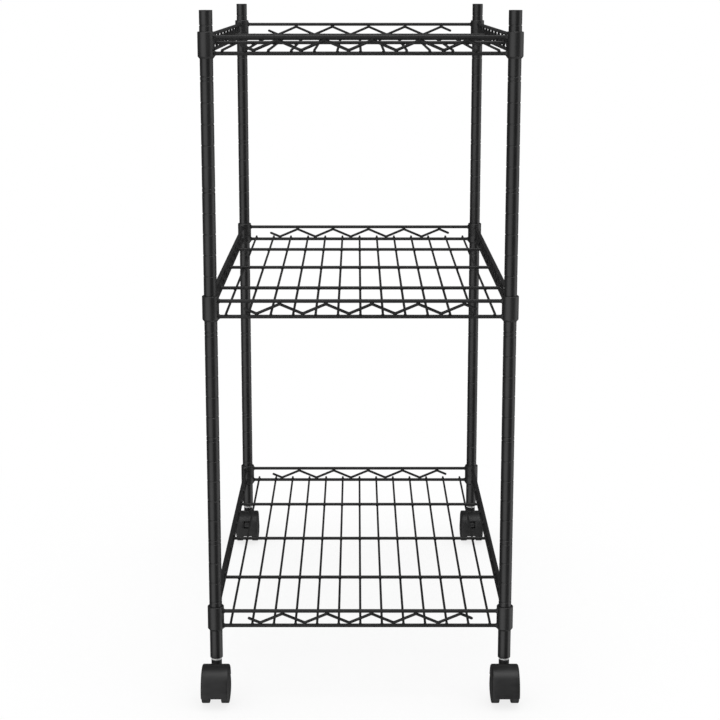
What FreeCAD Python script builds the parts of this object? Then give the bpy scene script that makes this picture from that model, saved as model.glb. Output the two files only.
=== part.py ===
import FreeCAD, Part
import math
import os
import re

doc = FreeCAD.newDocument("PantryCart")
sheet = doc.addObject("Spreadsheet::Sheet", "Sizes")

# Driving sizes in millimetres and degrees. +X runs across the cart, +Y along it to the rear.
sizes = {
    # posts
    "post_span_across": 342.8,
    "post_span_along": 587.0,
    "post_radius": 7.5,
    "post_wall": 0.9,
    "upper_post_length": 332.8,
    "lower_post_length": 425.0,
    "ring_radius": 1.0,
    "ring_depth": 0.45,
    "ring_pitch": 23.95,
    "rings_in_group": 6,
    "ring_group_gap": 4.9,
    "ring_end_margin": 3.0,
    "upper_first_ring": 23.9,
    "upper_first_group": 3,
    "lower_first_ring": 28.85,
    "lower_first_group": 1,
    "crown_ring_drop": 15.6,
    # what the posts hold
    "snug_gap": 0.02,
    "cap_thickness": 1.2,
    "cap_rounding": 0.4,
    "cap_plug_depth": 8.0,
    "stud_radius": 4.0,
    "stud_length": 32.0,
    "joint_insert_length": 20.0,
    "foot_insert_length": 25.0,
    # where the shelves sit on the posts, from the height of a shelf's lower rails
    "bottom_shelf_rise": 40.0,
    "middle_shelf_drop": 11.2,
    "top_shelf_drop": 46.3,
    # wires of a shelf
    "rail_radius": 2.2,
    "rail_offset": 2.25,
    "rail_rise": 18.1,
    "weld_sink": 0.1,
    "truss_radius": 1.7,
    "truss_bend": 4.0,
    "end_truss_fewer": 3,
    "end_truss_stretch": 0.8,
    "side_truss_bends": 21,
    "side_truss_margin": 29.425,
    "deck_wire_radius": 1.45,
    "deck_wire_count": 13,
    "deck_margin": 17.8,
    "deck_overhang": 3.0,
    "support_radius": 2.05,
    "support_truss_steps": 6,
    # corner collars and the split sleeves inside them
    "sleeve_gap": 0.05,
    "sleeve_wall": 1.0,
    "sleeve_taper": 0.4,
    "wedge_length": 12.0,
    "sleeve_split": 0.4,
    "sleeve_lip": 0.4,
    "sleeve_flange_height": 2.3,
    "bead_rise": 5.0,
    "collar_wall": 0.7,
    "collar_drop": 3.25,
    "collar_rise": 24.0,
    "collar_rounding": 1.0,
    # casters
    "wheel_radius": 20.0,
    "wheel_width": 10.85,
    "wheel_crown": 108.0,
    "wheel_rounding": 0.8,
    "wheel_face": 4.85,
    "wheel_rim": 3.5,
    "hub_radius": 6.0,
    "wheel_side_gap": 0.5,
    "caster_trail": 14.65,
    "tread_gap": 3.3,
    "hood_wall": 2.4,
    "hood_width": 32.4,
    "hood_rounding": 2.0,
    "hood_stem_side": 78.0,
    "hood_trail_side": 104.0,
    "web_thickness": 12.9,
    "boss_radius": 6.5,
    "axle_radius": 2.5,
    "axle_cover": 2.6,
    "axle_end_gap": 0.3,
    "turning_gap": 0.05,
    "neck_radius": 6.25,
    "neck_rise": 27.6,
    "neck_floor": 3.0,
    # stems
    "stem_radius": 4.0,
    "stem_depth": 22.6,
    "stem_end_gap": 0.1,
    "stem_grip": 23.0,
    "nut_flats": 10.0,
    "nut_height": 2.9,
    "nut_gap": 0.5,
    "clip_rise": 1.5,
    "clip_thickness": 1.1,
    "clip_bite": 0.6,
    "clip_overlap": 0.6,
    "clip_play": 0.4,
    "clip_mouth": 3.0,
    # brakes of the rear pair
    "brake_half_width": 3.4,
    "brake_side_gap": 1.0,
    "brake_shell_gap": 0.7,
    "brake_arm_depth": 8.1,
    "brake_floor_gap": 2.0,
    "brake_tongue_inset": 0.5,
    "brake_lip": 1.0,
    "brake_lip_angle": 3.0,
    "brake_arm_start": 36.0,
    "brake_tongue_start": 56.0,
    "brake_end": 71.0,
    "brake_room": 4.5,
    "brake_pin_radius": 1.0,
    "brake_pin_inset": 5.8,
    "brake_pin_angle": 42.0,
    "shoe_start": 60.0,
    "shoe_end": 68.0,
    "shoe_gap": 1.1,
    "shoe_thickness": 1.8,
    "shoe_travel": 1.5,
    "shoe_half_length": 14.0,
}
for row, (name, value) in enumerate(sizes.items(), 1):
    sheet.set(f"A{row}", name)
    sheet.set(f"B{row}", str(value))
    sheet.setAlias(f"B{row}", name)
doc.recompute()

# Rules worked out from the sizes, written as expressions of the sheet's names.
axle_height = "wheel_radius"
neck_top = "(wheel_radius + neck_rise)"
nut_bottom = f"({neck_top} + nut_gap)"
post_foot = f"({nut_bottom} + nut_height)"
post_joint = f"({post_foot} + lower_post_length)"
post_top = f"({post_joint} + upper_post_length)"
stem_bottom = f"({neck_top} - stem_depth)"
post_bore = "(post_radius - post_wall)"
ring_path = "(post_radius + ring_radius - ring_depth)"
sleeve_bore = "(post_radius + sleeve_gap)"
sleeve_top_radius = f"({sleeve_bore} + sleeve_wall)"
sleeve_low_radius = f"({sleeve_top_radius} + sleeve_taper)"
collar_radius = f"({sleeve_low_radius} + sleeve_gap + collar_wall)"
end_rail_y = "(post_span_along / 2 + rail_offset)"
side_rail_x = "(post_span_across / 2 + rail_offset)"
deck_pitch = "((post_span_across - 2 * deck_margin) / (deck_wire_count - 1))"
side_truss_step = "((post_span_along - 2 * side_truss_margin) / side_truss_bends)"
deck_rise = "(rail_radius + deck_wire_radius - weld_sink)"
support_rise = f"({deck_rise} + deck_wire_radius + support_radius - weld_sink)"
hood_bore = "(wheel_radius + tread_gap)"
hood_radius = f"({hood_bore} + hood_wall)"
wheel_inner = "(web_thickness / 2 + wheel_side_gap)"
wheel_outer = f"({wheel_inner} + wheel_width)"
axle_half = f"({wheel_outer} - axle_cover)"
stem_bore = "(stem_radius + turning_gap)"
clip_height = f"({stem_bottom} + clip_rise + clip_thickness / 2)"
front_reach = f"(caster_trail + {hood_radius})"
rear_reach = f"max({collar_radius}; {hood_radius} * sin(hood_stem_side) - caster_trail)"
centre_y = f"(({front_reach} - {rear_reach}) / 2)"
brake_pin_path = f"({hood_bore} - brake_pin_inset)"
brake_arm_outer = f"({hood_bore} - brake_shell_gap)"
brake_arm_inner = f"({brake_arm_outer} - brake_arm_depth)"
shoe_inner = "(wheel_radius + shoe_gap)"

post_spots = {
    "front_left": ("-post_span_across / 2", f"{centre_y} - post_span_along / 2"),
    "front_right": ("post_span_across / 2", f"{centre_y} - post_span_along / 2"),
    "rear_left": ("-post_span_across / 2", f"{centre_y} + post_span_along / 2"),
    "rear_right": ("post_span_across / 2", f"{centre_y} + post_span_along / 2"),
}
size_name = re.compile(r"(?<![\w.])(" + "|".join(sizes) + r")(?!\w)")
nodes = []


def size(name):
    return float(sheet.get(name))


def bound(rule):
    return size_name.sub(r"Sizes.\1", rule)


def place(item, x="0", y="0", z="0", turn="rotationz(0)"):
    item.setExpression("Placement", bound(f"placement(vector({x}; {y}; {z}); {turn})"))
    return item


def primitive(kind, name, **rules):
    item = doc.addObject("Part::" + kind, name)
    for side, rule in rules.items():
        item.setExpression(side, bound(rule))
    return item


def rod(name, radius, height, **where):
    return place(primitive("Cylinder", name, Radius=radius, Height=height), **where)


def cross_rod(name, radius, half_length, **where):
    """A cylinder along X, half its length on either side of its place."""
    turned = rod(name + "_rod", radius, f"2 * {half_length}", x=f"-{half_length}", turn="rotationy(90)")
    return place(together(name, turned), **where)


def cone(name, low, high, height, **where):
    return place(primitive("Cone", name, Radius1=low, Radius2=high, Height=height), **where)


def ring(name, path, thickness, **where):
    return place(primitive("Torus", name, Radius1=path, Radius2=thickness), **where)


def together(name, *items):
    group = doc.addObject("Part::Compound", name)
    group.Links = list(items)
    return group


def cut(name, base, *tools):
    item = doc.addObject("Part::Cut", name)
    item.Base = base
    item.Tool = tools[0] if len(tools) == 1 else together(name + "_tools", *tools)
    return item


def fuse(name, *items):
    item = doc.addObject("Part::MultiFuse", name)
    item.Shapes = list(items)
    return item


def rounded(name, base, radius, picks):
    doc.recompute()
    item = doc.addObject("Part::Fillet", name)
    item.Base = base
    item.Edges = [(number, radius, radius) for number, edge in enumerate(base.Shape.Edges, 1) if picks(edge)]
    return item


def copies(name, master, spots):
    placed = []
    for number, spot in enumerate(spots):
        placed.append(place(together(f"{name}_{number}", master), **spot))
    return together(name, *placed)


def node(name, item, **where):
    """A named sub-part: a placed copy of a modelled piece."""
    piece = place(together(name, item), **where)
    piece.Label = name
    nodes.append(piece)


def at_posts(z="0"):
    return [{"x": x, "y": y, "z": z} for x, y in post_spots.values()]


# Posts: two tubes each, with rolled rings in groups.
def ring_rules(length, first, first_group, floor):
    """Heights of a tube's regular rings above its lower end, from the top down."""
    rules = []
    steps = gaps = 0
    left = size(first_group)
    while size(length) - size(first) - steps * size("ring_pitch") - gaps * size("ring_group_gap") > floor:
        rules.append(f"{length} - {first} - {steps} * ring_pitch - {gaps} * ring_group_gap")
        left -= 1
        if left < 1:
            gaps += 1
            left = size("rings_in_group")
        else:
            steps += 1
    return rules


def ringed_tube(name, length, ring_heights):
    wall = rod(name + "_wall", "post_radius", length)
    bore = rod(name + "_bore", post_bore, length)
    grooves = []
    for number, height in enumerate(ring_heights):
        grooves.append(ring(f"{name}_ring_{number}", ring_path, "ring_radius", z=height))
    return cut(name, cut(name + "_plain", wall, bore), *grooves)


lowest_ring = size("ring_end_margin")
upper_rings = ring_rules("upper_post_length", "upper_first_ring", "upper_first_group", lowest_ring)
upper_rings += ["upper_post_length - crown_ring_drop", "upper_post_length - top_shelf_drop + bead_rise"]
lowest_ring = size("bottom_shelf_rise") + size("bead_rise") + size("ring_pitch") / 2
lower_rings = ring_rules("lower_post_length", "lower_first_ring", "lower_first_group", lowest_ring)
lower_rings += ["bottom_shelf_rise + bead_rise", "lower_post_length - middle_shelf_drop + bead_rise"]
upper_tube = ringed_tube("upper_tube", "upper_post_length", upper_rings)
lower_tube = ringed_tube("lower_tube", "lower_post_length", lower_rings)
for corner, (x, y) in post_spots.items():
    node(f"post_lower_{corner}", lower_tube, x=x, y=y, z=post_foot)
    node(f"post_upper_{corner}", upper_tube, x=x, y=y, z=post_joint)

# Post caps: a plate with a plug in the tube.
cap_blank = fuse(
    "cap_blank",
    rod("cap_plate", "post_radius", "cap_thickness"),
    rod("cap_plug", f"{post_bore} - snug_gap", "cap_plug_depth", z="-cap_plug_depth"),
)
cap_middle = size("cap_thickness") / 2
cap = rounded("cap", cap_blank, size("cap_rounding"), lambda edge: edge.BoundBox.ZMin > cap_middle)
node("post_caps", copies("caps", cap, at_posts(post_top)))


# Threaded inserts in the tube ends, and the studs between the sections.
def insert(name, length, bore):
    wall = rod(name + "_wall", f"{post_bore} - snug_gap", length)
    return cut(name, wall, rod(name + "_bore", f"{bore} + snug_gap", length))


joint_insert = insert("joint_insert", "joint_insert_length", "stud_radius")
foot_insert = insert("foot_insert", "foot_insert_length", "stem_radius")
joint_spots = at_posts(post_joint) + at_posts(f"{post_joint} - joint_insert_length")
node("joint_inserts", copies("inserts", joint_insert, joint_spots))
node("foot_inserts", copies("feet", foot_insert, at_posts(post_foot)))
stud = rod("stud", "stud_radius", "stud_length")
node("joining_studs", copies("studs", stud, at_posts(f"{post_joint} - stud_length / 2")))


# One shelf about the middle of the posts, its lower rails at height 0.
corner_spots = [
    {"x": f"{x} post_span_across / 2", "y": f"{y} post_span_along / 2"} for x in ("-", "") for y in ("-", "")
]


def rails(name, height):
    """Four rails welded between the collars, their ends coped to them."""
    long_rod = rod(name + "_long", "rail_radius", "post_span_along", turn="rotationx(90)")
    wide_rod = rod(name + "_wide", "rail_radius", "post_span_across", turn="rotationy(90)")
    rods = []
    for side in ("-", ""):
        along = {"x": side + side_rail_x, "y": "post_span_along / 2", "z": height}
        across = {"x": "-post_span_across / 2", "y": side + end_rail_y, "z": height}
        rods.append(place(together(name + "_rod", long_rod), **along))
        rods.append(place(together(name + "_rod", wide_rod), **across))
    coping = rod(name + "_coping", collar_radius, "4 * rail_radius", z=f"{height} - 2 * rail_radius")
    return cut(name, together(name + "_all", *rods), copies(name + "_corners", coping, corner_spots))


def truss(name, step, bends, first_high):
    """A zigzag wire along X, its bends on the lower and upper rails."""
    low = size("rail_radius") + size("truss_radius") - size("weld_sink")
    high = size("rail_rise") - low
    bend = size("truss_bend")
    spread = high - low - 2 * bend
    slope = math.asin(2 * bend / math.hypot(step, spread)) + math.atan2(spread, step)
    middle = (low + high) / 2
    x = -step * (bends - 1) / 2
    start = here = FreeCAD.Vector(x - step / 2, 0, middle)
    edges = []
    for number in range(bends):
        is_high = (number % 2 == 0) == first_high
        peak = high if is_high else low
        shoulder = bend * (1 - math.cos(slope)) * (-1 if is_high else 1)
        begin = FreeCAD.Vector(x - bend * math.sin(slope), 0, peak + shoulder)
        end = FreeCAD.Vector(x + bend * math.sin(slope), 0, peak + shoulder)
        edges.append(Part.makeLine(here, begin))
        edges.append(Part.Arc(begin, FreeCAD.Vector(x, 0, peak), end).toShape())
        here = end
        x += step
    edges.append(Part.makeLine(here, FreeCAD.Vector(x - step / 2, 0, middle)))
    path = Part.Wire(edges)
    heading = edges[0].tangentAt(edges[0].FirstParameter)
    section = Part.Circle(start, heading, size("truss_radius")).toShape()
    item = doc.addObject("Part::Feature", name)
    item.Shape = path.makePipeShell([Part.Wire(section)], True, False)
    swept = math.pi * size("truss_radius") ** 2 * path.Length
    assert abs(item.Shape.Volume / swept - 1) < 0.002, f"{name} is not a whole wire"
    return item


def wire_row(name, wire, pitch, count, **where):
    """Copies of a wire side by side along X, evenly spaced about the middle."""
    spots = [{"x": f"({number} - {count - 1} / 2) * {pitch}", **where} for number in range(count)]
    return copies(name, wire, spots)


# The end trusses bend between the deck wires, so they step a little wider from the middle out.
deck_count = int(size("deck_wire_count"))
deck_step = (size("post_span_across") - 2 * size("deck_margin")) / (deck_count - 1)
end_bends = deck_count - int(size("end_truss_fewer"))
end_truss = truss("end_truss", deck_step + size("end_truss_stretch"), end_bends, False)
side_bends = int(size("side_truss_bends"))
side_step = (size("post_span_along") - 2 * size("side_truss_margin")) / side_bends
side_truss = truss("side_truss", side_step, side_bends, True)
deck_half = f"({end_rail_y} + deck_overhang)"
deck_wire = rod("deck_wire", "deck_wire_radius", f"2 * {deck_half}", turn="rotationx(90)")
support = cross_rod("support", "support_radius", f"({side_rail_x} - truss_radius)")
support_spots = [
    {"y": f"{row} * support_truss_steps * {side_truss_step}", "z": support_rise} for row in (-1, 0, 1)
]
shelf = {
    "lower_rails": rails("low_rails", "0"),
    "upper_rails": rails("high_rails", "rail_rise"),
    "end_trusses": copies("end_pair", end_truss, [{"y": f"-{end_rail_y}"}, {"y": end_rail_y}]),
    "side_trusses": copies("side_pair", side_truss, [
        {"x": f"-{side_rail_x}", "turn": "rotationz(90)"},
        {"x": side_rail_x, "turn": "rotationz(90)"},
    ]),
    "deck_wires": wire_row("deck_row", deck_wire, deck_pitch, deck_count, y=deck_half, z=deck_rise),
    "support_wires": copies("support_row", support, support_spots),
}

# Corner collars, tapered at the mouth, and the split sleeves that they wedge onto the posts.
collar_height = "(collar_rise + collar_drop)"
collar_blank = cut(
    "collar_blank",
    rod("collar_wall_rod", collar_radius, collar_height, z="-collar_drop"),
    rod("collar_bore", f"{sleeve_top_radius} + sleeve_gap", collar_height, z="-collar_drop"),
    cone("collar_mouth", f"{sleeve_low_radius} + sleeve_gap", f"{sleeve_top_radius} + sleeve_gap",
         "wedge_length", z="-collar_drop"),
)
collar = rounded(
    "collar", collar_blank, size("collar_rounding"),
    lambda edge: edge.BoundBox.ZMin > size("collar_rise") - 0.01 and edge.BoundBox.XMax > size("post_radius")
    + 2 * size("sleeve_gap") + size("sleeve_wall") + size("collar_wall") / 2,
)
sleeve_outside = fuse(
    "sleeve_outside",
    rod("sleeve_rod", sleeve_top_radius, collar_height, z="-collar_drop"),
    cone("sleeve_wedge", sleeve_low_radius, sleeve_top_radius, "wedge_length", z="-collar_drop"),
    cone("sleeve_flange", f"{sleeve_bore} + sleeve_lip", collar_radius, "sleeve_flange_height",
         z="-collar_drop - sleeve_flange_height"),
)
sleeve_core = cut(
    "sleeve_core",
    rod("sleeve_bore_rod", sleeve_bore, f"{collar_height} + sleeve_flange_height",
        z="-collar_drop - sleeve_flange_height"),
    ring("bead", ring_path, "ring_radius - sleeve_gap", z="bead_rise"),
)
split = place(
    primitive("Box", "split", Length=f"2 * {collar_radius}", Width="sleeve_split",
              Height=f"{collar_height} + sleeve_flange_height"),
    x=f"-{collar_radius}", y="-sleeve_split / 2", z="-collar_drop - sleeve_flange_height",
)
split_sleeve = cut("split_sleeve", sleeve_outside, sleeve_core, split)
shelf["corner_collars"] = copies("collars", collar, corner_spots)
shelf["split_sleeves"] = copies("sleeves", split_sleeve, corner_spots)

shelf_heights = {
    "bottom": f"{post_foot} + bottom_shelf_rise",
    "middle": f"{post_joint} - middle_shelf_drop",
    "top": f"{post_top} - top_shelf_drop",
}
for level, height in shelf_heights.items():
    for piece, item in shelf.items():
        node(f"{level}_{piece}", item, y=centre_y, z=height)

# Caster stems with their nuts and clips, fixed to the posts.
groove = {"height": "clip_thickness + 2 * snug_gap", "z": "clip_rise - snug_gap"}
stem = cut(
    "stem",
    rod("stem_rod", "stem_radius", "stem_depth + nut_gap + nut_height + stem_grip"),
    cut(
        "stem_groove",
        rod("groove_outside", "2 * stem_radius", **groove),
        rod("groove_inside", "stem_radius - clip_bite", **groove),
    ),
)
nut = cut(
    "nut",
    primitive("Prism", "nut_hexagon", Circumradius="nut_flats / 2 / cos(30)", Height="nut_height"),
    rod("nut_bore", "stem_radius + snug_gap", "nut_height"),
)
clip_opening = primitive(
    "Box", "clip_opening", Length="2 * stem_radius", Width="clip_mouth", Height="clip_thickness"
)
clip = cut(
    "clip",
    rod("clip_outside", "stem_radius + clip_overlap", "clip_thickness"),
    rod("clip_inside", "stem_radius - clip_bite + snug_gap", "clip_thickness"),
    place(clip_opening, y="-clip_mouth / 2"),
)
node("caster_stems", copies("stems", stem, at_posts(stem_bottom)))
node("stem_nuts", copies("nuts", nut, at_posts(nut_bottom)))
node("stem_clips", copies("clips", clip, at_posts(f"{stem_bottom} + clip_rise")))


# Caster hoods. Angles about the axle are from straight up toward the trailing side.
def sector(name, inner, outer, half_width, start, end):
    width = f"2 * {half_width}"
    corner = {"x": f"-{half_width}", "y": "-caster_trail", "z": axle_height}
    solid = primitive("Cylinder", name + "_outer", Radius=outer, Height=width, Angle=f"({end}) - ({start})")
    place(solid, turn=f"rotationx(180 + ({start})) * rotationy(90)", **corner)
    if not inner:
        return solid
    return cut(name, solid, rod(name + "_inner", inner, width, turn="rotationy(90)", **corner))


def is_hood_rim(edge):
    middle = edge.valueAt((edge.FirstParameter + edge.LastParameter) / 2)
    return abs(abs(middle.x) - size("hood_width") / 2) < 0.01 and abs(math.hypot(
        middle.y + size("caster_trail"), middle.z - size("wheel_radius")) - hood_outer) < 0.01


hood_outer = size("wheel_radius") + size("tread_gap") + size("hood_wall")
shell = rounded(
    "shell",
    sector("shell_blank", hood_bore, hood_radius, "hood_width / 2", "-hood_stem_side", "hood_trail_side"),
    size("hood_rounding"), is_hood_rim,
)
hood_blank = fuse(
    "hood_blank",
    shell,
    sector("web", "", f"({hood_bore} + hood_wall / 2)", "web_thickness / 2",
           "-hood_stem_side", "hood_trail_side"),
    cross_rod("boss", "boss_radius", "(web_thickness / 2)", y="-caster_trail", z=axle_height),
    rod("neck", "neck_radius", f"stem_depth + stem_end_gap + neck_floor",
        z=f"{stem_bottom} - stem_end_gap - neck_floor"),
)
plain_hood = cut(
    "plain_hood",
    hood_blank,
    rod("stem_socket", stem_bore, "stem_depth + stem_end_gap", z=f"{stem_bottom} - stem_end_gap"),
    rod("clip_recess", "stem_radius + clip_overlap + clip_play", "clip_thickness + 2 * clip_play",
        z=f"{stem_bottom} + clip_rise - clip_play"),
    cross_rod("axle_bore", "axle_radius + snug_gap", "web_thickness", y="-caster_trail", z=axle_height),
)

# The braked hood is open down the middle of its trailing face for the lever.
brake_gap_half = "(brake_half_width + brake_side_gap)"
pin_spot = {
    "y": f"-caster_trail - {brake_pin_path} * sin(brake_pin_angle)",
    "z": f"{axle_height} + {brake_pin_path} * cos(brake_pin_angle)",
}
braked_hood = cut(
    "braked_hood",
    plain_hood,
    sector("brake_slot", f"({hood_bore} - brake_shell_gap)", f"({hood_radius} + hood_wall)", brake_gap_half,
           "brake_tongue_start - brake_room", "brake_end + brake_room"),
    sector("brake_cavity", f"({brake_arm_inner} - brake_floor_gap)", hood_bore, brake_gap_half,
           "brake_arm_start - brake_room", "brake_end + brake_room"),
    sector("shoe_window", f"({shoe_inner} - shoe_travel)", hood_bore, "web_thickness",
           "shoe_start - brake_room", "shoe_end + brake_room"),
    cross_rod("brake_pin_bore", "brake_pin_radius + snug_gap", "web_thickness", **pin_spot),
)
brake_pin = cross_rod("brake_pin", "brake_pin_radius", "(web_thickness / 2)", **pin_spot)
lever = cut(
    "lever",
    fuse(
        "lever_blank",
        sector("lever_arm", brake_arm_inner, brake_arm_outer, "brake_half_width",
               "brake_arm_start", "brake_end"),
        sector("lever_tongue", brake_arm_inner, f"({hood_radius} - brake_tongue_inset)", "brake_half_width",
               "brake_tongue_start", "brake_end"),
        sector("lever_lip", brake_arm_inner, f"({hood_radius} + brake_lip)", "brake_half_width",
               "brake_end - brake_lip_angle", "brake_end"),
        sector("lever_shoe", shoe_inner, f"({shoe_inner} + shoe_thickness)", "shoe_half_length",
               "shoe_start", "shoe_end"),
    ),
    cross_rod("lever_bore", "brake_pin_radius + turning_gap", "web_thickness", **pin_spot),
)

# Wheels: crowned discs on a fixed axle, hollow on the side of the hood's web.
axle = cross_rod("axle", "axle_radius", axle_half, y="-caster_trail", z=axle_height)
wheel_disc = doc.addObject("Part::Common", "wheel_disc")
wheel_ball = primitive("Sphere", "wheel_ball", Radius="wheel_crown")
wheel_disc.Base = rod("wheel_tread", "wheel_radius", "wheel_width", x=wheel_inner, turn="rotationy(90)")
wheel_disc.Tool = place(wheel_ball, x=f"{wheel_outer} - wheel_crown")
wheel = cut(
    "wheel",
    rounded("wheel_blank", wheel_disc, size("wheel_rounding"),
            lambda edge: abs(edge.BoundBox.ZLength / 2 - size("wheel_radius")) < 0.01),
    cut(
        "wheel_hollow",
        rod("wheel_hollow_outside", "wheel_radius - wheel_rim", "wheel_width - wheel_face", x=wheel_inner,
            turn="rotationy(90)"),
        rod("wheel_hub", "hub_radius", "wheel_width - wheel_face", x=wheel_inner, turn="rotationy(90)"),
    ),
    rod("wheel_bore", "axle_radius + turning_gap", f"{axle_half} + axle_end_gap - {wheel_inner}",
        x=wheel_inner, turn="rotationy(90)"),
)
for corner, (x, y) in post_spots.items():
    braked = corner.startswith("rear")
    node(f"caster_hood_{corner}", braked_hood if braked else plain_hood, x=x, y=y)
    node(f"caster_axle_{corner}", axle, x=x, y=y)
    for side, turn in (("left", "rotationz(180)"), ("right", "rotationz(0)")):
        node(f"wheel_{corner}_{side}", wheel, x=x, y=f"{y} - caster_trail", z=axle_height, turn=turn)
    if braked:
        node(f"brake_pin_{corner}", brake_pin, x=x, y=y)
        node(f"brake_lever_{corner}", lever, x=x, y=y)

doc.recompute()
for item in doc.Objects:
    if "Invalid" in item.State or "Error" in item.State:
        raise RuntimeError(f"{item.Name} did not compute: {item.State}")
for piece in nodes:
    if piece.Shape.isNull() or not piece.Shape.isValid() or not piece.Shape.Solids:
        raise RuntimeError(f"{piece.Label} has no sound shape")
os.makedirs("parts", exist_ok=True)
for piece in nodes:
    piece.Shape.exportStep(f"parts/{piece.Label}.step")
    print(piece.Label, len(piece.Shape.Solids), "solids", round(piece.Shape.Volume, 1), "mm3")
box = together("whole_cart", *nodes)
doc.recompute()
print("overall", [round(side, 2) for side in (box.Shape.BoundBox.XLength, box.Shape.BoundBox.YLength,
                                              box.Shape.BoundBox.ZLength)])
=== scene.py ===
import math
import bmesh
import bpy
from mathutils import Matrix, Vector


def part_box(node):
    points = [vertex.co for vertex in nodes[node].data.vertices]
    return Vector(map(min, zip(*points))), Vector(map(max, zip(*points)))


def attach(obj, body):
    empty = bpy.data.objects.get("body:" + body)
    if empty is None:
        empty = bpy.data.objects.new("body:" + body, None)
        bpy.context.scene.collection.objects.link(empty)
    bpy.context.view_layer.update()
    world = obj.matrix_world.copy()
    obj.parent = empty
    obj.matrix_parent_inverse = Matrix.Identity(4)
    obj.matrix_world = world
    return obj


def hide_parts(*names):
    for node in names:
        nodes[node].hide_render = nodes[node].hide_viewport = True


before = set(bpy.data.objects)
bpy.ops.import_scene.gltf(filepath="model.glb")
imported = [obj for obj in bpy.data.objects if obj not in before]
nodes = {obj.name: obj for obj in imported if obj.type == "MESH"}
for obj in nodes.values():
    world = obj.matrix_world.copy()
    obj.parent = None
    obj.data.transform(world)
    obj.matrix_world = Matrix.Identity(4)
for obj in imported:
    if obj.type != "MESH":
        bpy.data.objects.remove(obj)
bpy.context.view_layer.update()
mm = 0.001
seam = 0.002  # corners closer than this, in mm, are one
corners = ["front_left", "front_right", "rear_left", "rear_right"]
levels = ["bottom", "middle", "top"]
print("frame loaded:", len(nodes), "pieces")


# Shader maths on sockets
class Socket:
    def __init__(self, finish, output):
        self.finish = finish
        self.output = output

    def sum(self, operation, *values):
        return self.finish.node("ShaderNodeMath", {"operation": operation}, dict(enumerate(values)))

    def __add__(self, other):
        return self.sum("ADD", self, other)

    def __radd__(self, other):
        return self.sum("ADD", other, self)

    def __sub__(self, other):
        return self.sum("SUBTRACT", self, other)

    def __rsub__(self, other):
        return self.sum("SUBTRACT", other, self)

    def __mul__(self, other):
        return self.sum("MULTIPLY", self, other)

    def __rmul__(self, other):
        return self.sum("MULTIPLY", other, self)

    def part(self, axis):
        return self.finish.node("ShaderNodeSeparateXYZ", {}, {0: self}, axis)


class Finish:
    def __init__(self, owner):
        owner.use_nodes = True
        self.owner = owner
        self.tree = owner.node_tree
        self.tree.nodes.clear()

    def node(self, kind, settings, values, out=0):
        made = self.tree.nodes.new(kind)
        for name, setting in settings.items():
            setattr(made, name, setting)
        for name, value in values.items():
            if isinstance(value, Socket):
                self.tree.links.new(value.output, made.inputs[name])
            else:
                made.inputs[name].default_value = value
        return Socket(self, made.outputs[out]) if made.outputs else made

    def place(self):
        return self.node("ShaderNodeTexCoord", {}, {}, "Object")

    def noise(self, vector, scale, detail=2.0, roughness=0.5):
        values = {"Vector": vector, "Scale": scale, "Detail": detail, "Roughness": roughness}
        return self.node("ShaderNodeTexNoise", {}, values, 0)

    def stretch(self, vector, scale):
        return self.node("ShaderNodeMapping", {}, {"Vector": vector, "Scale": scale})

    def blend(self, mask, low, high):
        values = {"Factor": mask, 6: (*low, 1.0), 7: (*high, 1.0)}
        return self.node("ShaderNodeMix", {"data_type": "RGBA"}, values, 2)

    def spread(self, value, low, high, newLow, newHigh):
        values = {"Value": value, "From Min": low, "From Max": high, "To Min": newLow, "To Max": newHigh}
        return self.node("ShaderNodeMapRange", {}, values)

    def bump(self, height, strength, distance):
        values = {"Height": height, "Strength": strength, "Distance": distance}
        return self.node("ShaderNodeBump", {}, values)

    def surface(self, values):
        shader = self.node("ShaderNodeBsdfPrincipled", {}, values)
        self.node("ShaderNodeOutputMaterial", {}, {"Surface": shader})
        return self.owner


def newFinish(name):
    return Finish(bpy.data.materials.new(name))


# Modelling by hand, in steps shared by the pieces
def startAlone():
    bpy.ops.object.select_all(action="DESELECT")


def choose(piece):
    startAlone()
    piece.select_set(True)
    bpy.context.view_layer.objects.active = piece


def newPiece(name):
    piece = bpy.context.object
    piece.name = name
    piece.data.name = name
    return piece


def pickFaces(piece, test):
    bpy.ops.mesh.select_mode(type="FACE")
    bpy.ops.mesh.select_all(action="DESELECT")
    for face in bmesh.from_edit_mesh(piece.data).faces:
        face.select_set(test(face))
    bmesh.update_edit_mesh(piece.data)


def settle(piece, smooth=35):
    if bpy.context.mode != "OBJECT":
        bpy.ops.object.mode_set(mode="OBJECT")
    choose(piece)
    bpy.ops.object.transform_apply(location=True, rotation=True, scale=True)
    bpy.ops.object.shade_smooth_by_angle(angle=math.radians(smooth))
    return piece


def useModifier(piece, kind, settings):
    choose(piece)
    change = piece.modifiers.new(kind.lower(), kind)
    for name, value in settings.items():
        setattr(change, name, value)
    bpy.ops.object.modifier_apply(modifier=change.name)


# Merges corners that lie closer than a distance and leaves no edge without a face
def mergeCorners(piece, distance):
    choose(piece)
    bpy.ops.object.mode_set(mode="EDIT")
    bpy.ops.mesh.select_all(action="SELECT")
    bpy.ops.mesh.remove_doubles(threshold=distance * mm)
    bpy.ops.mesh.delete_loose(use_verts=True, use_edges=True, use_faces=False)
    bpy.ops.object.mode_set(mode="OBJECT")


# Rounds the edges that are sharper than an angle
def soften(piece, width, segments=2, angle=35):
    mergeCorners(piece, width / 5)
    useModifier(piece, "BEVEL", {
        "width": width * mm,
        "segments": segments,
        "limit_method": "ANGLE",
        "angle_limit": math.radians(angle),
        "use_clamp_overlap": False,
    })
    mergeCorners(piece, seam)
    return settle(piece)


def combine(piece, other, operation):
    useModifier(piece, "BOOLEAN", {"operation": operation, "object": other, "solver": "EXACT"})
    bpy.data.objects.remove(other)


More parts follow.
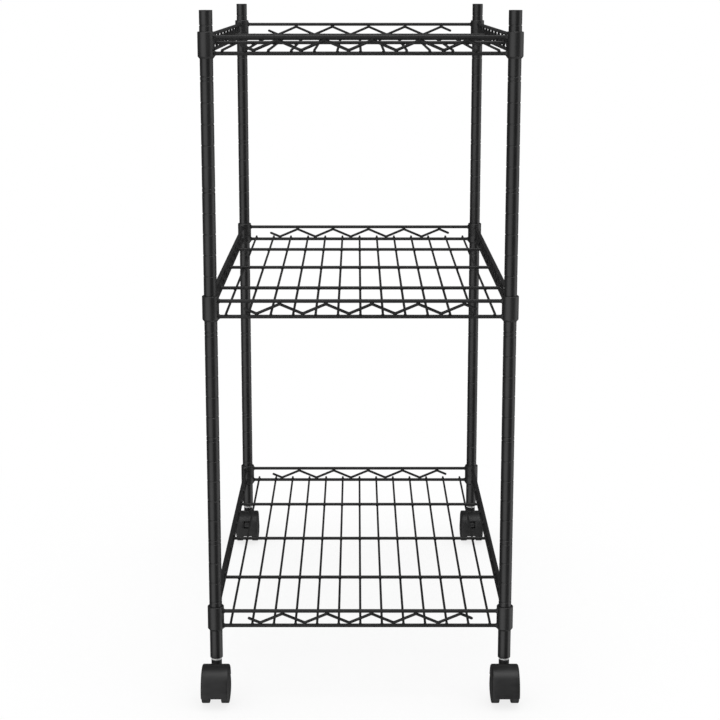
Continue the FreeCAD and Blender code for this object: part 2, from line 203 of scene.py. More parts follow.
def copyOf(master, name, turn):
    piece = master.copy()
    piece.data = master.data.copy()
    piece.name = piece.data.name = name
    piece.data.transform(turn)
    bpy.context.scene.collection.objects.link(piece)
    return piece


def joinAll(name, parts):
    choose(parts[0])
    for part in parts:
        part.select_set(True)
    bpy.ops.object.join()
    return settle(newPiece(name))


# Rings of (radius, height) about an upright axis: a disc drawn up ring by ring
def turned(name, profile, sides):
    radius, height = profile[0]
    startAlone()
    bpy.ops.mesh.primitive_circle_add(
        vertices=sides, radius=radius * mm, fill_type="NGON", location=(0, 0, height * mm))
    piece = newPiece(name)
    bpy.ops.object.mode_set(mode="EDIT")
    for nextRadius, nextHeight in profile[1:]:
        rise = (0, 0, (nextHeight - height) * mm)
        bpy.ops.mesh.extrude_region_move(TRANSFORM_OT_translate={"value": rise})
        grow = nextRadius / radius
        bpy.ops.transform.resize(value=(grow, grow, 1), center_override=(0, 0, nextHeight * mm))
        radius, height = nextRadius, nextHeight
    bpy.ops.mesh.select_all(action="SELECT")
    bpy.ops.mesh.normals_make_consistent(inside=False)
    return settle(piece)


# An outline of (x, radius) points spun about the X axis, its angles from straight up toward -Y
def spun(name, outline, start, end, steps):
    turn = math.radians(start)
    spots = [Vector((x, -radius * math.sin(turn), radius * math.cos(turn))) * mm for x, radius in outline]
    startAlone()
    bpy.ops.mesh.primitive_plane_add(size=mm)
    piece = newPiece(name)
    bpy.ops.object.mode_set(mode="EDIT")
    bpy.ops.mesh.select_mode(type="VERT")
    bpy.ops.mesh.merge(type="CENTER")
    bpy.ops.transform.translate(value=spots[0])
    for here, there in zip(spots, spots[1:]):
        bpy.ops.mesh.extrude_vertices_move(TRANSFORM_OT_translate={"value": there - here})
    bpy.ops.mesh.select_all(action="SELECT")
    if end - start < 360:
        bpy.ops.mesh.edge_face_add()
    bpy.ops.mesh.spin(steps=steps, angle=math.radians(end - start), center=(0, 0, 0), axis=(-1, 0, 0))
    bpy.ops.mesh.select_all(action="SELECT")
    bpy.ops.mesh.remove_doubles(threshold=seam * mm)
    bpy.ops.mesh.normals_make_consistent(inside=False)
    return settle(piece)


def sector(name, inner, outer, half, start, end, steps):
    outline = [(-half, inner), (half, inner), (half, outer), (-half, outer)]
    return spun(name, outline, start, end, steps)


# A sector from the values of a piece that are called after it
def sectorOf(shape, name, half):
    return sector(name, *shape[name + "Radii"], half, *shape[name], shape[name + "Steps"])


def dress(piece, finish, body, stands=()):
    piece.data.materials.clear()
    piece.data.materials.append(finish)
    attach(piece, body)
    if stands:
        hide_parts(*stands)


def middle(node):
    low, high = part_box(node)
    return (Vector(low) + Vector(high)) / 2


# Black powder coat on steel: a shallow orange peel with fine flecks
powderCoat = {
    "deep": (0.006, 0.006, 0.0062),
    "pale": (0.011, 0.011, 0.0113),
    "peelScale": 700,
    "fleckScale": 2600,
    "cloudScale": 16,
    "peelHeight": 0.000045,
    "peelShare": 0.75,  # of the bump: the rest is flecks
    "cloudShare": 0.7,  # of the colour: the rest is flecks
    "toneRange": (0.36, 0.64),
    "fleckRoughness": 0.14,
    "cloudRoughness": 0.12,
    "clearCoat": 0.35,  # weight of the clear layer, as a share of the shine
    "clearCloud": 0.15,
    "clearRoughness": 0.22,
}


def makeCoat(name, roughness, peel, shine):
    coat = newFinish(name)
    place = coat.place()
    ripple = coat.noise(place, powderCoat["peelScale"] * peel, 2.0, 0.45)
    fleck = coat.noise(place, powderCoat["fleckScale"], 2.0)
    cloud = coat.noise(place, powderCoat["cloudScale"], 3.0, 0.6)
    clouded, peeled = powderCoat["cloudShare"], powderCoat["peelShare"]
    tone = coat.spread(cloud * clouded + fleck * (1 - clouded), *powderCoat["toneRange"], 0.0, 1.0)
    height = ripple * peeled + fleck * (1 - peeled)
    fleck, cloud = fleck - 0.5, cloud - 0.5
    change = fleck * powderCoat["fleckRoughness"] + cloud * powderCoat["cloudRoughness"]
    return coat.surface({
        "Base Color": coat.blend(tone, powderCoat["deep"], powderCoat["pale"]),
        "Roughness": roughness + change,
        "Specular IOR Level": shine,
        "Coat Weight": shine * powderCoat["clearCoat"] + cloud * powderCoat["clearCloud"],
        "Coat Roughness": powderCoat["clearRoughness"],
        "Normal": coat.bump(height, 1.0, powderCoat["peelHeight"]),
    })


# Black moulded plastic with a fine spark-eroded grain and soft flow marks
blackPlastic = {
    "deep": (0.008, 0.008, 0.0084),
    "pale": (0.014, 0.014, 0.0144),
    "grainScale": 1900,
    "flowScale": 60,
    "flowLength": (1.0, 1.0, 3.5),
    "flowShare": 0.65,  # of the colour: the rest is grain
    "toneRange": (0.38, 0.62),
    "grainRoughness": 0.2,
    "flowRoughness": 0.1,
    "grainHeight": 0.00003,
}


# The last argument scales both tones up: painted light, lighter copies of the one black plastic for parts
# on which more light falls
def makePlastic(name, roughness, grain, shine, paintedLight=1.0):
    plastic = newFinish(name)
    place = plastic.place()
    drawn = plastic.stretch(place, blackPlastic["flowLength"])
    speckle = plastic.noise(place, blackPlastic["grainScale"] * grain, 2.0, 0.6)
    flow = plastic.noise(drawn, blackPlastic["flowScale"], 3.0, 0.55)
    share = blackPlastic["flowShare"]
    tone = plastic.spread(flow * share + speckle * (1 - share), *blackPlastic["toneRange"], 0.0, 1.0)
    deep, pale = (tuple(part * paintedLight for part in blackPlastic[name]) for name in ("deep", "pale"))
    change = (speckle - 0.5) * blackPlastic["grainRoughness"] + (flow - 0.5) * blackPlastic["flowRoughness"]
    return plastic.surface({
        "Base Color": plastic.blend(tone, deep, pale),
        "Roughness": roughness + change,
        "Specular IOR Level": shine,
        "Normal": plastic.bump(speckle, 1.0, blackPlastic["grainHeight"]),
    })


# Bright zinc plate, turned about the post axes, with a faint yellow passivation
zincPlate = {
    "grey": (0.78, 0.79, 0.81),
    "warm": (0.88, 0.87, 0.83),
    "metallic": 0.35,
    "roughness": 0.36,
    "turning": (90.0, 90.0, 4200.0),
    "turningRoughness": 0.25,
    "turningHeight": 0.00002,
    "patchScale": 240,
    "patchRoughness": 0.15,
    "toneRange": (0.35, 0.7),
}


def makeZinc(name):
    zinc = newFinish(name)
    place = zinc.place()
    turning = zinc.noise(zinc.stretch(place, zincPlate["turning"]), 1.0, 3.0)
    patch = zinc.noise(place, zincPlate["patchScale"], 3.0, 0.6)
    tone = zinc.spread(patch, *zincPlate["toneRange"], 0.0, 1.0)
    change = (turning - 0.5) * zincPlate["turningRoughness"] + (patch - 0.5) * zincPlate["patchRoughness"]
    return zinc.surface({
        "Base Color": zinc.blend(tone, zincPlate["grey"], zincPlate["warm"]),
        "Metallic": zincPlate["metallic"],
        "Roughness": zincPlate["roughness"] + change,
        "Normal": zinc.bump(turning, 0.6, zincPlate["turningHeight"]),
    })


postCoat = makeCoat("postCoat", roughness=0.34, peel=1.0, shine=0.57)
wireCoat = makeCoat("wireCoat", roughness=0.46, peel=1.5, shine=0.4)
collarCoat = makeCoat("collarCoat", roughness=0.42, peel=1.0, shine=0.62)
# Hood, wheels and brake levers get painted light: lighter copies of the same black plastic
hoodPlastic = makePlastic("hoodPlastic", roughness=0.42, grain=1.0, shine=0.46, paintedLight=1.2)
wheelPlastic = makePlastic("wheelPlastic", roughness=0.5, grain=1.3, shine=0.62, paintedLight=1.15)
sleevePlastic = makePlastic("sleevePlastic", roughness=0.5, grain=1.0, shine=0.62)
leverPlastic = makePlastic("leverPlastic", roughness=0.45, grain=1.0, shine=0.62, paintedLight=1.35)
capPlastic = makePlastic("capPlastic", roughness=0.45, grain=1.1, shine=0.62)
zincFinish = makeZinc("zincPlate")
print("finishes made")

finishOf = {
    "post_upper": postCoat, "post_lower": postCoat, "post_caps": capPlastic,
    "joining_studs": zincFinish, "joint_inserts": zincFinish, "foot_inserts": zincFinish,
    "upper_rails": wireCoat, "lower_rails": wireCoat, "end_trusses": wireCoat, "side_trusses": wireCoat,
    "deck_wires": wireCoat, "support_wires": wireCoat, "corner_collars": collarCoat,
    "split_sleeves": sleevePlastic, "caster_stems": zincFinish, "stem_nuts": zincFinish,
    "stem_clips": zincFinish, "caster_axle": zincFinish, "brake_pin": zincFinish,
    "caster_hood": hoodPlastic, "wheel_": wheelPlastic, "brake_lever": leverPlastic,
}
for name, piece in nodes.items():
    finish = next(finish for words, finish in finishOf.items() if words in name)
    piece.data.materials.clear()
    piece.data.materials.append(finish)
print("finishes on the frame's pieces")

postSpots = {corner: middle(f"post_lower_{corner}").xy for corner in corners}
axleSpots = {corner: middle(f"caster_axle_{corner}") for corner in corners}


# Wheels: a crowned disc with a ringed face, hollow behind with ribs between hub and tread
wheelShape = {
    "inner": 6.95,
    "outer": 17.8,
    "crown": 108.0,
    "hub": 6.0,
    "rim": 16.5,
    "floor": 12.95,
    "bore": 2.55,
    "boreEnd": 15.5,
    "chamfer": 0.4,
    "corner": 0.3,
    "floorCorner": (0.6, 0.8),
    "draft": 0.1,
    "innerShoulder": [(6.95, 19.1), (7.07, 19.55), (7.4, 19.88), (7.85, 20)],
    "partingLine": [(11.9, 20), (12.05, 19.93), (12.2, 20)],
    "outerShoulder": [(15.1, 20), (15.5, 19.93), (15.8, 19.7), (16.0, 19.35)],
    "rimFace": [18.9, 17.8, 16.6, 15.4, 14.1],
    "groove": 13.4,
    "grooveHalf": 0.45,
    "grooveDepth": 0.3,
    "hubFace": [12.7, 11.2, 9.6, 8.0, 6.6, 5.7],
    "cap": 5.2,
    "capStep": 0.3,
    "capDrop": 0.25,
    "capSink": 0.01,
    "capFace": [3.6, 2.0, 0],
    "ribs": 8,
    "ribThickness": 1.4,
    "ribTaper": 0.65,
    "ribEdge": 0.2,
    "ribInset": 0.7,  # how far a rib's edge lies behind the wheel's inner face
    "ribSink": (0.2, 0.4),  # how far a rib runs into the floor, and into the hub and the tread
    "steps": 96,
}


def crownAt(radius):
    crown = wheelShape["crown"]
    return wheelShape["outer"] - crown + math.sqrt(crown ** 2 - radius ** 2)


def makeWheel():
    inner, hub, rim, floor = (wheelShape[name] for name in ("inner", "hub", "rim", "floor"))
    bore, boreEnd, groove, cap = (wheelShape[name] for name in ("bore", "boreEnd", "groove", "cap"))
    chamfer, corner, draft = (wheelShape[name] for name in ("chamfer", "corner", "draft"))
    depth, width = wheelShape["floorCorner"]
    outline = [
        (boreEnd, 0), (boreEnd, bore), (inner + chamfer, bore), (inner, bore + chamfer),
        (inner, hub - corner), (inner + corner, hub), (floor - depth, hub + draft), (floor, hub + width),
        (floor, rim - width), (floor - depth, rim - draft), (inner + corner, rim), (inner, rim + corner),
    ]
    outline += wheelShape["innerShoulder"] + wheelShape["partingLine"] + wheelShape["outerShoulder"]
    outline += [(crownAt(radius), radius) for radius in wheelShape["rimFace"]]
    grooveFloor, grooveHalf = crownAt(groove) - wheelShape["grooveDepth"], wheelShape["grooveHalf"]
    outline += [(grooveFloor, groove + grooveHalf), (grooveFloor, groove - grooveHalf)]
    outline += [(crownAt(radius), radius) for radius in wheelShape["hubFace"]]
    step, sink = wheelShape["capStep"], wheelShape["capSink"]
    ledge = crownAt(cap) - wheelShape["capDrop"]
    outline += [(ledge, cap + step), (ledge, cap), (crownAt(cap) - 2 * sink, cap - step)]
    outline += [(crownAt(radius) - sink, radius) for radius in wheelShape["capFace"]]
    disc = spun("wheelDisc", outline, 0, 360, wheelShape["steps"])
    inFloor, inRims = wheelShape["ribSink"]
    back, front = inner + wheelShape["ribInset"], floor + inFloor
    low, high = hub - inRims, rim + inRims
    startAlone()
    bpy.ops.mesh.primitive_cube_add(
        size=1, location=((back + front) / 2 * mm, 0, (low + high) / 2 * mm),
        scale=((front - back) * mm, wheelShape["ribThickness"] * mm, (high - low) * mm))
    rib = newPiece("rib")
    bpy.ops.object.mode_set(mode="EDIT")
    pickFaces(rib, lambda face: face.normal.x < -0.9)
    bpy.ops.transform.resize(value=(1, wheelShape["ribTaper"], 1))
    settle(rib)
    soften(rib, wheelShape["ribEdge"])
    turns = [Matrix.Rotation(2 * math.pi * number / wheelShape["ribs"], 4, "X")
             for number in range(wheelShape["ribs"])]
    ribs = [copyOf(rib, "rib", turn) for turn in turns]
    bpy.data.objects.remove(rib)
    return joinAll("wheelMaster", [disc] + ribs)


wheel = makeWheel()
for corner in corners:
    for side, turn in (("left", math.pi), ("right", 0)):
        place = Matrix.Translation(axleSpots[corner]) @ Matrix.Rotation(turn, 4, "Z")
        piece = copyOf(wheel, f"wheel.{corner}.{side}", place)
        node = f"wheel_{corner}_{side}"
        dress(piece, wheelPlastic, node, [node])
bpy.data.objects.remove(wheel)
print("wheels made")


# Caster hoods: a shell rolled over the wheels, a web between them and a neck round the stem
hoodShape = {
    "inner": 23.3,
    "outer": 25.7,
    "halfWidth": 16.2,
    "rounding": 2.0,
    "lipRounding": 0.5,
    "stemSide": -78,
    "trailSide": 104,
    "web": 6.45,
    "webRadii": (5.5, 24.4),
    "webInset": 1.0,  # degrees, so that the web's ends don't lie in the shell's
    "boss": 6.5,
    "bossHalf": 6.65,
    "neck": 6.25,
    "neckLow": 1.9,
    "neckHigh": 27.6,
    "neckEdge": 0.4,
    "trail": 14.65,
    "socket": 4.05,
    "socketFloor": 4.9,
    "axleBore": 2.52,
    "slotHalf": 4.4,
    "slot": (51.5, 75.5),
    "slotRadii": (22.6, 29),
    "cavity": (31.5, 75.2),
    "cavityRadii": (12.5, 23.6),
    "window": (55.5, 72.5),  # where the shoe reaches out over both wheels
    "windowRadii": (19.6, 24.1),
    "steps": 72,
    "lipSteps": 3,
    "roundingSteps": 7,
    "webSteps": 70,
    "slotSteps": 12,
    "cavitySteps": 24,
    "windowSteps": 10,
    "roundSteps": 48,
    "socketSides": 32,
    "boreSides": 24,
    "boreTurn": 2,  # degrees, so that its corners miss the boss's
    "edge": 0.3,
}


def arcPoints(centreX, centreRadius, rounding, start, end, count):
    points = []
    for number in range(count + 1):
        angle = math.radians(start + (end - start) * number / count)
        points.append((centreX + rounding * math.cos(angle), centreRadius + rounding * math.sin(angle)))
    return points


def hoodOutline():
    half, inner, outer = (hoodShape[name] for name in ("halfWidth", "inner", "outer"))
    big, small = hoodShape["rounding"], hoodShape["lipRounding"]
    fine, coarse = hoodShape["lipSteps"], hoodShape["roundingSteps"]
    outline = arcPoints(half - small, inner + small, small, -90, 0, fine)[:-1]
    outline += arcPoints(half - big, outer - big, big, 0, 90, coarse)
    outline += [(part * half, outer) for part in (0.5, 0, -0.5)]
    outline += arcPoints(big - half, outer - big, big, 90, 180, coarse)
    outline += arcPoints(small - half, inner + small, small, 180, 270, fine)[1:]
    return outline


def makeHood(name, braked):
    stemSide, trailSide, web = (hoodShape[name] for name in ("stemSide", "trailSide", "web"))
    boss, half, sides = (hoodShape[name] for name in ("boss", "bossHalf", "roundSteps"))
    low, high, neck, neckEdge = (hoodShape[name] for name in ("neckLow", "neckHigh", "neck", "neckEdge"))
    socket, axle, turn, reach = hoodShape["socket"], hoodShape["axleBore"], hoodShape["boreTurn"], 2 * web
    onStem = Matrix.Translation((0, hoodShape["trail"] * mm, 0))
    webArc = stemSide + hoodShape["webInset"], trailSide - hoodShape["webInset"]
    hood = spun(name, hoodOutline(), stemSide, trailSide, hoodShape["steps"])
    plate = sector("web", *hoodShape["webRadii"], web, *webArc, hoodShape["webSteps"])
    hub = spun("boss", [(-half, 0), (-half, boss), (half, boss), (half, 0)], 0, 360, sides)
    column = turned("neck", [(neck, low), (neck, high - neckEdge), (neck - neckEdge, high)], sides)
    column.data.transform(onStem)
    for solid in (plate, hub, column):
        combine(hood, solid, "UNION")
    rings = [(socket, hoodShape["socketFloor"]), (socket, high + 2)]
    stemHole = turned("socket", rings, hoodShape["socketSides"])
    stemHole.data.transform(onStem)
    outline = [(-reach, 0), (-reach, axle), (reach, axle), (reach, 0)]
    axleHole = spun("bore", outline, turn, turn + 360, hoodShape["boreSides"])
    openings = [stemHole, axleHole]
    if braked:
        slotHalf = hoodShape["slotHalf"]
        cuts = {"slot": slotHalf, "cavity": slotHalf, "window": reach}
        openings += [sectorOf(hoodShape, cut, cutHalf) for cut, cutHalf in cuts.items()]
    for opening in openings:
        combine(hood, opening, "DIFFERENCE")
    return soften(hood, hoodShape["edge"])


hoods = {"front": makeHood("hoodPlain", False), "rear": makeHood("hoodBraked", True)}
for corner in corners:
    piece = copyOf(hoods[corner.split("_")[0]], f"hood.{corner}", Matrix.Translation(axleSpots[corner]))
    dress(piece, hoodPlastic, f"caster_{corner}", [f"caster_hood_{corner}"])
for hood in hoods.values():
    bpy.data.objects.remove(hood)
print("hoods made")


# Brake levers: an arm in the hood's slot with a ridged toe tongue, and a shoe across both wheels
leverShape = {
    "half": 3.4,
    "arm": (36, 71),
    "armRadii": (14.5, 22.6),
    "armSteps": 24,
    "tongue": (56, 70.8),
    "tongueRadii": (15.5, 24.9),
    "tongueSteps": 10,
    "lip": (68, 70.6),
    "lipRadii": (16.5, 26.6),
    "lipSteps": 3,
    "shoe": (60, 68),
    "shoeRadii": (21.1, 22.9),
    "shoeHalf": 14.0,
    "shoeSteps": 8,
    "inset": 0.12,  # each part of the lever is this much narrower than the one below it
    "edge": 0.25,
    "ridges": 4,
    "ridgeHeight": 0.3,
    "ridgeSink": 0.3,
    "ridgeInset": 0.7,
    "ridgeMargins": (1.5, 1),  # degrees, from the tongue's start and before the lip
    "ridgeSteps": 3,
    "ridgeEdge": 0.12,
}


def makeLever():
    half, inset = leverShape["half"], leverShape["inset"]
    lever = sectorOf(leverShape, "arm", half)
    parts = {"tongue": half - inset, "lip": half - 2 * inset, "shoe": leverShape["shoeHalf"]}
    for part, partHalf in parts.items():
        combine(lever, sectorOf(leverShape, part, partHalf), "UNION")
    soften(lever, leverShape["edge"])
    before, after = leverShape["ridgeMargins"]
    start, end = leverShape["tongue"][0] + before, leverShape["lip"][0] - after
    step = (end - start) / leverShape["ridges"]
    tongue = leverShape["tongueRadii"][1]
    low, high = tongue - leverShape["ridgeSink"], tongue + leverShape["ridgeHeight"]
    ridges = []
    for number in range(leverShape["ridges"]):
        angle, ridgeHalf = start + step * number, half - leverShape["ridgeInset"]
        ridge = sector("ridge", low, high, ridgeHalf, angle, angle + step / 2, leverShape["ridgeSteps"])
        ridges.append(soften(ridge, leverShape["ridgeEdge"]))
    return joinAll("leverMaster", [lever] + ridges)


lever = makeLever()
for corner in corners[2:]:
    piece = copyOf(lever, f"brakeLever.{corner}", Matrix.Translation(axleSpots[corner]))
    node = f"brake_lever_{corner}"
    dress(piece, leverPlastic, node, [node])
bpy.data.objects.remove(lever)
print("brake levers made")


# Stem nuts: chamfered hexagons with a washer face, under the post feet
nutShape = {
    "flats": 10.0,
    "height": 2.9,
    "chamfer": 0.5,
    "chamferRise": 0.4,
    "edge": 0.1,
    "flange": [(5.7, 0.0), (6.2, 0.18), (6.35, 0.6), (6.35, 1.35), (6.2, 1.75), (5.7, 1.95)],
    "bore": 4.02,
    "sides": 48,
    "boreSides": 32,
    "turns": {"front_left": 0.1, "front_right": 0.55, "rear_left": 0.3, "rear_right": 0.8},
}


def makeNut():
    radius = nutShape["flats"] / 2 / math.cos(math.radians(30))
    height, rise, bore = (nutShape[name] for name in ("height", "chamferRise", "bore"))
    small, large = radius - 2 * nutShape["chamfer"], radius + 0.01
    nut = turned("nutMaster", [(radius, 0), (radius, height)], 6)
    rings = [(small, 0), (large, rise), (large, height - rise), (small, height)]
    combine(nut, turned("lathe", rings, nutShape["sides"]), "INTERSECT")
    combine(nut, turned("flange", nutShape["flange"], nutShape["sides"]), "UNION")
    combine(nut, turned("nutBore", [(bore, -1), (bore, height + 1)], nutShape["boreSides"]), "DIFFERENCE")
    return soften(nut, nutShape["edge"], 1)


nut = makeNut()
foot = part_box("stem_nuts")[0][2]
nuts = [copyOf(nut, "nut", Matrix.Translation((*postSpots[corner], foot)) @ Matrix.Rotation(turn, 4, "Z"))
        for corner, turn in nutShape["turns"].items()]
bpy.data.objects.remove(nut)
dress(joinAll("stemNuts", nuts), zincFinish, "frame", ["stem_nuts"])
print("stem nuts made")


# Post caps: a moulded plate with a raised lip and a dished middle, its plug in the tube
capShape = {
    "rings": [
        (5.4, -8.0), (6.4, -7.0), (6.55, -4.0), (6.58, -0.02), (7.42, 0.0), (7.5, 0.12), (7.5, 0.72),
        (7.4, 0.98), (7.15, 1.15), (6.8, 1.2), (6.1, 1.2), (5.85, 1.12), (5.7, 0.9), (5.3, 0.82),
        (3.0, 0.72), (0.9, 0.7),
    ],
    "thickness": 1.2,
    "sides": 48,
}
cap = turned("capMaster", capShape["rings"], capShape["sides"])
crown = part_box("post_caps")[1][2] - capShape["thickness"] * mm
caps = [copyOf(cap, "cap", Matrix.Translation((*spot, crown))) for spot in postSpots.values()]
bpy.data.objects.remove(cap)
dress(joinAll("capTops", caps), capPlastic, "frame", ["post_caps"])
print("post caps made")


# Deck wires: straight drawn wires with their cut ends tumbled round
deckShape = {
    "radius": 1.45,
    "count": 13,
    "tip": [(0.6, 0.0), (1.05, 0.16), (1.33, 0.48), (1.45, 0.95)],
    "sides": 14,
}


def makeDeck(level):
    low, high = (Vector(corner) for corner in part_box(f"{level}_deck_wires"))
    tip, count, radius = deckShape["tip"], deckShape["count"], deckShape["radius"] * mm
    length, height = (high.y - low.y) / mm, (low.z + high.z) / 2
    profile = tip + [(size, length - rise) for size, rise in reversed(tip)]
    wire = turned("wire", profile, deckShape["sides"])
    step = (high.x - low.x - 2 * radius) / (count - 1)
    lay = Matrix.Rotation(math.radians(-90), 4, "X")
    places = [low.x + radius + step * number for number in range(count)]
    wires = [copyOf(wire, "wire", Matrix.Translation((x, low.y, height)) @ lay) for x in places]
    bpy.data.objects.remove(wire)
    dress(joinAll(f"deckWires.{level}", wires), wireCoat, "frame", [f"{level}_deck_wires"])
    return places


deckPlaces = {level: makeDeck(level) for level in levels}
print("deck wires made")


# Welds: coated beads where wires cross, and collars of weld where the rails meet the posts' collars
weldShape = {
    "bead": (2.1, 2.1, 1.0),
    "trussBead": (2.5, 1.65, 1.0),
    "unevenness": 0.16,
    "kinds": 3,
    "segments": 10,
    "rings": 6,
    "sink": 0.1,
    "ring": [(2.4, -1.2), (3.25, -0.9), (3.15, 0.25), (2.8, 0.75), (2.45, 1.25), (2.23, 1.9)],
    "ringSides": 14,
    "wire": 1.7,
    "support": 2.05,
    "sideBends": 21,
    "sideStep": 25.15,
    "endBends": 10,
    "endStep": 26.4,
}


def makeBeads(name, size):
    beads = []
    for kind in range(weldShape["kinds"]):
        startAlone()
        bpy.ops.mesh.primitive_uv_sphere_add(
            segments=weldShape["segments"], ring_count=weldShape["rings"], radius=mm)
        bead = newPiece(name)
        bpy.ops.object.mode_set(mode="EDIT")
        bpy.ops.transform.resize(value=size)
        bpy.ops.transform.vertex_random(offset=weldShape["unevenness"] * mm, seed=kind + 1)
        beads.append(settle(bead, 180))
    return beads


# Where a shelf's wires touch: pairs of a kind of bead and a place, and the free ends of its trusses
def weldSpots(level, rod, ends, sides, beads):
    spots, tips = [], []
    sink, support = weldShape["sink"] * mm, weldShape["support"] * mm
    deckLow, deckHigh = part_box(f"{level}_deck_wires")
    supportLow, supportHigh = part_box(f"{level}_support_wires")
    front, rear = supportLow[1] + support, supportHigh[1] - support
    for x in deckPlaces[level]:
        spots += [(beads["deck"], (x, y, deckLow[2] + sink)) for y in ends]
        spots += [(beads["deck"], (x, y, deckHigh[2] - sink)) for y in (front, (front + rear) / 2, rear)]
    centre = middle(f"{level}_lower_rails")
    railLow, railHigh = centre.z, middle(f"{level}_upper_rails").z
    for kind, along, lines in (
        ("end", Vector((1, 0, 0)), [(centre.x, y) for y in ends]),
        ("side", Vector((0, 1, 0)), [(x, centre.y) for x in sides]),
    ):
        bends, step = weldShape[kind + "Bends"], weldShape[kind + "Step"] * mm
        for line in lines:
            for number in range(bends):
                isHigh = (number % 2 == 0) == (kind == "side")
                height = railHigh - rod if isHigh else railLow + rod
                offset = (number - (bends - 1) / 2) * step
                spots.append((beads[kind], Vector((*line, height)) + along * offset))
            for end in (-1, 1):
                tips.append(Vector((*line, (railLow + railHigh) / 2)) + along * end * bends * step / 2)
    return spots, tips


# Rings of weld round the rails' ends, standing on the corner collars
def weldRings(level, ends, sides):
    ring = turned("weldRing", weldShape["ring"], weldShape["ringSides"])
    centre = middle(f"{level}_lower_rails")
    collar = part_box(f"{level}_corner_collars")[1][0] - max(spot.x for spot in postSpots.values())
    rings = []
    for spot in postSpots.values():
        inX, inY = (-1 if spot.x > 0 else 1), (-1 if spot.y > centre.y else 1)
        side = sides[0] if spot.x < 0 else sides[1]
        end = ends[0] if spot.y < centre.y else ends[1]
        reachX = math.sqrt(collar ** 2 - (end - spot.y) ** 2)
        reachY = math.sqrt(collar ** 2 - (side - spot.x) ** 2)
        turnX = Matrix.Rotation(math.radians(90 * inX), 4, "Y")
        turnY = Matrix.Rotation(math.radians(-90 * inY), 4, "X")
        for height in (centre.z, middle(f"{level}_upper_rails").z):
            endSeat = Matrix.Translation((spot.x + inX * reachX, end, height))
            sideSeat = Matrix.Translation((side, spot.y + inY * reachY, height))
            rings.append(copyOf(ring, "ring", endSeat @ turnX))
            rings.append(copyOf(ring, "ring", sideSeat @ turnY))
    bpy.data.objects.remove(ring)
    return rings


def makeWelds(level):
    length, width, height = weldShape["trussBead"]
    sizes = {"deck": weldShape["bead"], "end": (length, width, height), "side": (width, length, height)}
    beads = {kind: makeBeads("bead", size) for kind, size in sizes.items()}
    domes = makeBeads("dome", [weldShape["wire"]] * 3)
    low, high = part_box(f"{level}_lower_rails")
    rod = (high[2] - low[2]) / 2
    ends, sides = (low[1] + rod, high[1] - rod), (low[0] + rod, high[0] - rod)
    spots, tips = weldSpots(level, rod, ends, sides, beads)
    parts = [copyOf(kinds[number % len(kinds)], "bead", Matrix.Translation(place))
             for number, (kinds, place) in enumerate(spots)]
    parts += [copyOf(domes[0], "dome", Matrix.Translation(place)) for place in tips]
    parts += weldRings(level, ends, sides)
    for master in sum(beads.values(), domes):
        bpy.data.objects.remove(master)
    dress(joinAll(f"welds.{level}", parts), wireCoat, "frame")


for level in levels:
    makeWelds(level)
print("welds made")


# Camera, floor, light
view = {
    "place": (-0.0043, -2.145, 0.838),
    "tilt": 11.08,  # degrees downwards
    "lens": 83.1,
    "sensor": 36,
    "shiftX": 0.0046,
    "shiftY": -0.07,
    "farthest": 300,
}
cameraData = bpy.data.cameras.new("camera")
cameraData.lens = view["lens"]
cameraData.sensor_width = view["sensor"]
cameraData.shift_x = view["shiftX"]
cameraData.shift_y = view["shiftY"]
cameraData.clip_end = view["farthest"]
camera = bpy.data.objects.new("camera", cameraData)
camera.location = view["place"]
camera.rotation_euler = (math.radians(90 - view["tilt"]), 0, 0)
bpy.context.scene.collection.objects.link(camera)
bpy.context.scene.camera = camera

room = {
    "floorColour": (0.95, 0.95, 0.95),
    "floorReach": 1.6,
    "floorSides": 96,
    "veil": 0.8,  # share of plain white in what the camera sees of the near floor
    "fadeStart": 0.4,
    "fadeEnd": 0.9,
    "fill": 0.9,  # strength of the sky on matt surfaces
    "white": 1.0,  # the background, as the camera and shiny surfaces see it
    "cloth": 0.1,  # dark cloths hung round the cart, which only shiny surfaces see
    "openings": [(-36, 33), (92, 24)],  # white between the cloths: heading from front to +X, half width
    "openingEdge": 12,
    "overhead": (0.93, 0.985, 0.32),  # where the white overhead starts and is full, and its strength
}


def makeFloor():
    startAlone()
    bpy.ops.mesh.primitive_circle_add(
        vertices=room["floorSides"], radius=room["floorReach"], fill_type="NGON")
    floor = newPiece("floor")
    finish = newFinish("paleFloor")
    distance = finish.node("ShaderNodeVectorMath", {"operation": "LENGTH"}, {0: finish.place()}, 1)
    far = finish.spread(distance, room["fadeStart"], room["fadeEnd"], room["veil"], 1.0)
    seen = finish.node("ShaderNodeLightPath", {}, {}, "Is Camera Ray")
    mirrored = finish.node("ShaderNodeLightPath", {}, {}, "Is Glossy Ray")
    ground = finish.node("ShaderNodeBsdfDiffuse", {}, {"Color": (*room["floorColour"], 1.0)})
    white = finish.node("ShaderNodeEmission", {}, {"Color": (1, 1, 1, 1), "Strength": 1.0})
    clear = finish.node("ShaderNodeBsdfTransparent", {}, {})
    mixed = finish.node("ShaderNodeMixShader", {}, {0: far * seen, 1: ground, 2: white})
    mixed = finish.node("ShaderNodeMixShader", {}, {0: mirrored, 1: mixed, 2: clear})
    finish.node("ShaderNodeOutputMaterial", {}, {"Surface": mixed})
    floor.data.materials.append(finish.owner)


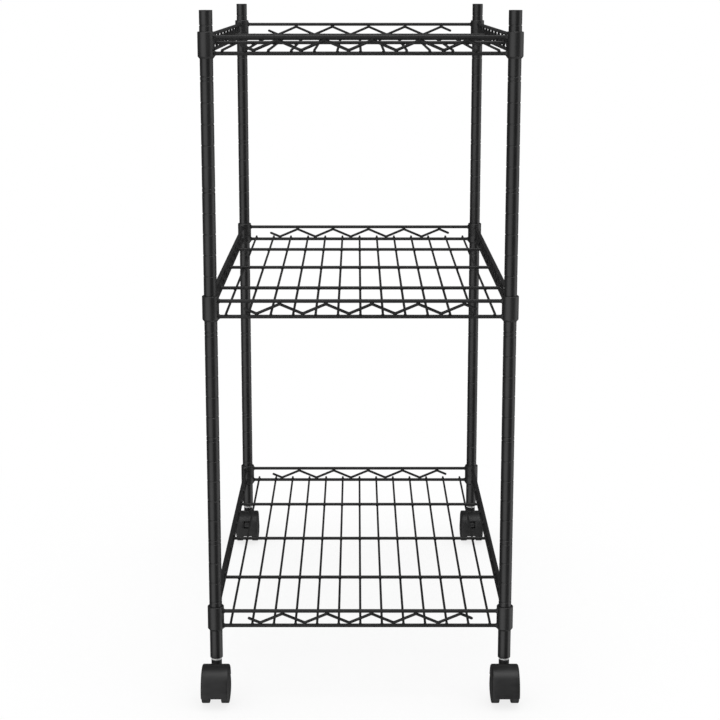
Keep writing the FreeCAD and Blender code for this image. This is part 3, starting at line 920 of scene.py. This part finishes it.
def makeSky():
    world = bpy.data.worlds.new("world")
    bpy.context.scene.world = world
    sky = Finish(world)
    seen = sky.node("ShaderNodeLightPath", {}, {}, "Is Camera Ray")
    through = sky.node("ShaderNodeLightPath", {}, {}, "Is Transmission Ray")
    mirrored = sky.node("ShaderNodeLightPath", {}, {}, "Is Glossy Ray")
    ray = sky.node("ShaderNodeTexCoord", {}, {}, "Generated")
    level = sky.node("ShaderNodeVectorMath", {"operation": "MULTIPLY"}, {0: ray, 1: (1, 1, 0)})
    level = sky.node("ShaderNodeVectorMath", {"operation": "NORMALIZE"}, {0: level})
    light = room["cloth"]
    for heading, half in room["openings"]:
        turn = math.radians(heading)
        aim = (math.sin(turn), -math.cos(turn), 0)
        facing = sky.node("ShaderNodeVectorMath", {"operation": "DOT_PRODUCT"}, {0: level, 1: aim}, 1)
        edge = math.cos(math.radians(half + room["openingEdge"]))
        core = math.cos(math.radians(half - room["openingEdge"]))
        light = sky.spread(facing, edge, core, 0.0, room["white"] - room["cloth"]) + light
    start, full, overhead = room["overhead"]
    light = light + sky.spread(ray.part(2), start, full, 0.0, overhead)
    plain = seen + through
    strength = plain * room["white"] + mirrored * light + (1 - plain - mirrored) * room["fill"]
    glow = sky.node("ShaderNodeBackground", {}, {"Color": (1, 1, 1, 1), "Strength": strength})
    sky.node("ShaderNodeOutputWorld", {}, {"Surface": glow})


lamps = {
    "above": {"place": (0.2, -0.3, 3.2), "size": (1.6, 1.6), "power": 22, "target": (0, 0, 0.4)},
}


def makeLamps():
    for name, lamp in lamps.items():
        data = bpy.data.lights.new(name, "AREA")
        data.shape = "RECTANGLE"
        data.size, data.size_y = lamp["size"]
        data.energy = lamp["power"]
        holder = bpy.data.objects.new(name, data)
        holder.location = lamp["place"]
        aim = Vector(lamp["target"]) - Vector(lamp["place"])
        holder.rotation_euler = aim.to_track_quat("-Z", "Y").to_euler()
        bpy.context.scene.collection.objects.link(holder)


makeFloor()
makeSky()
makeLamps()
bpy.context.scene.view_settings.view_transform = "Standard"
print("camera, floor and light set")
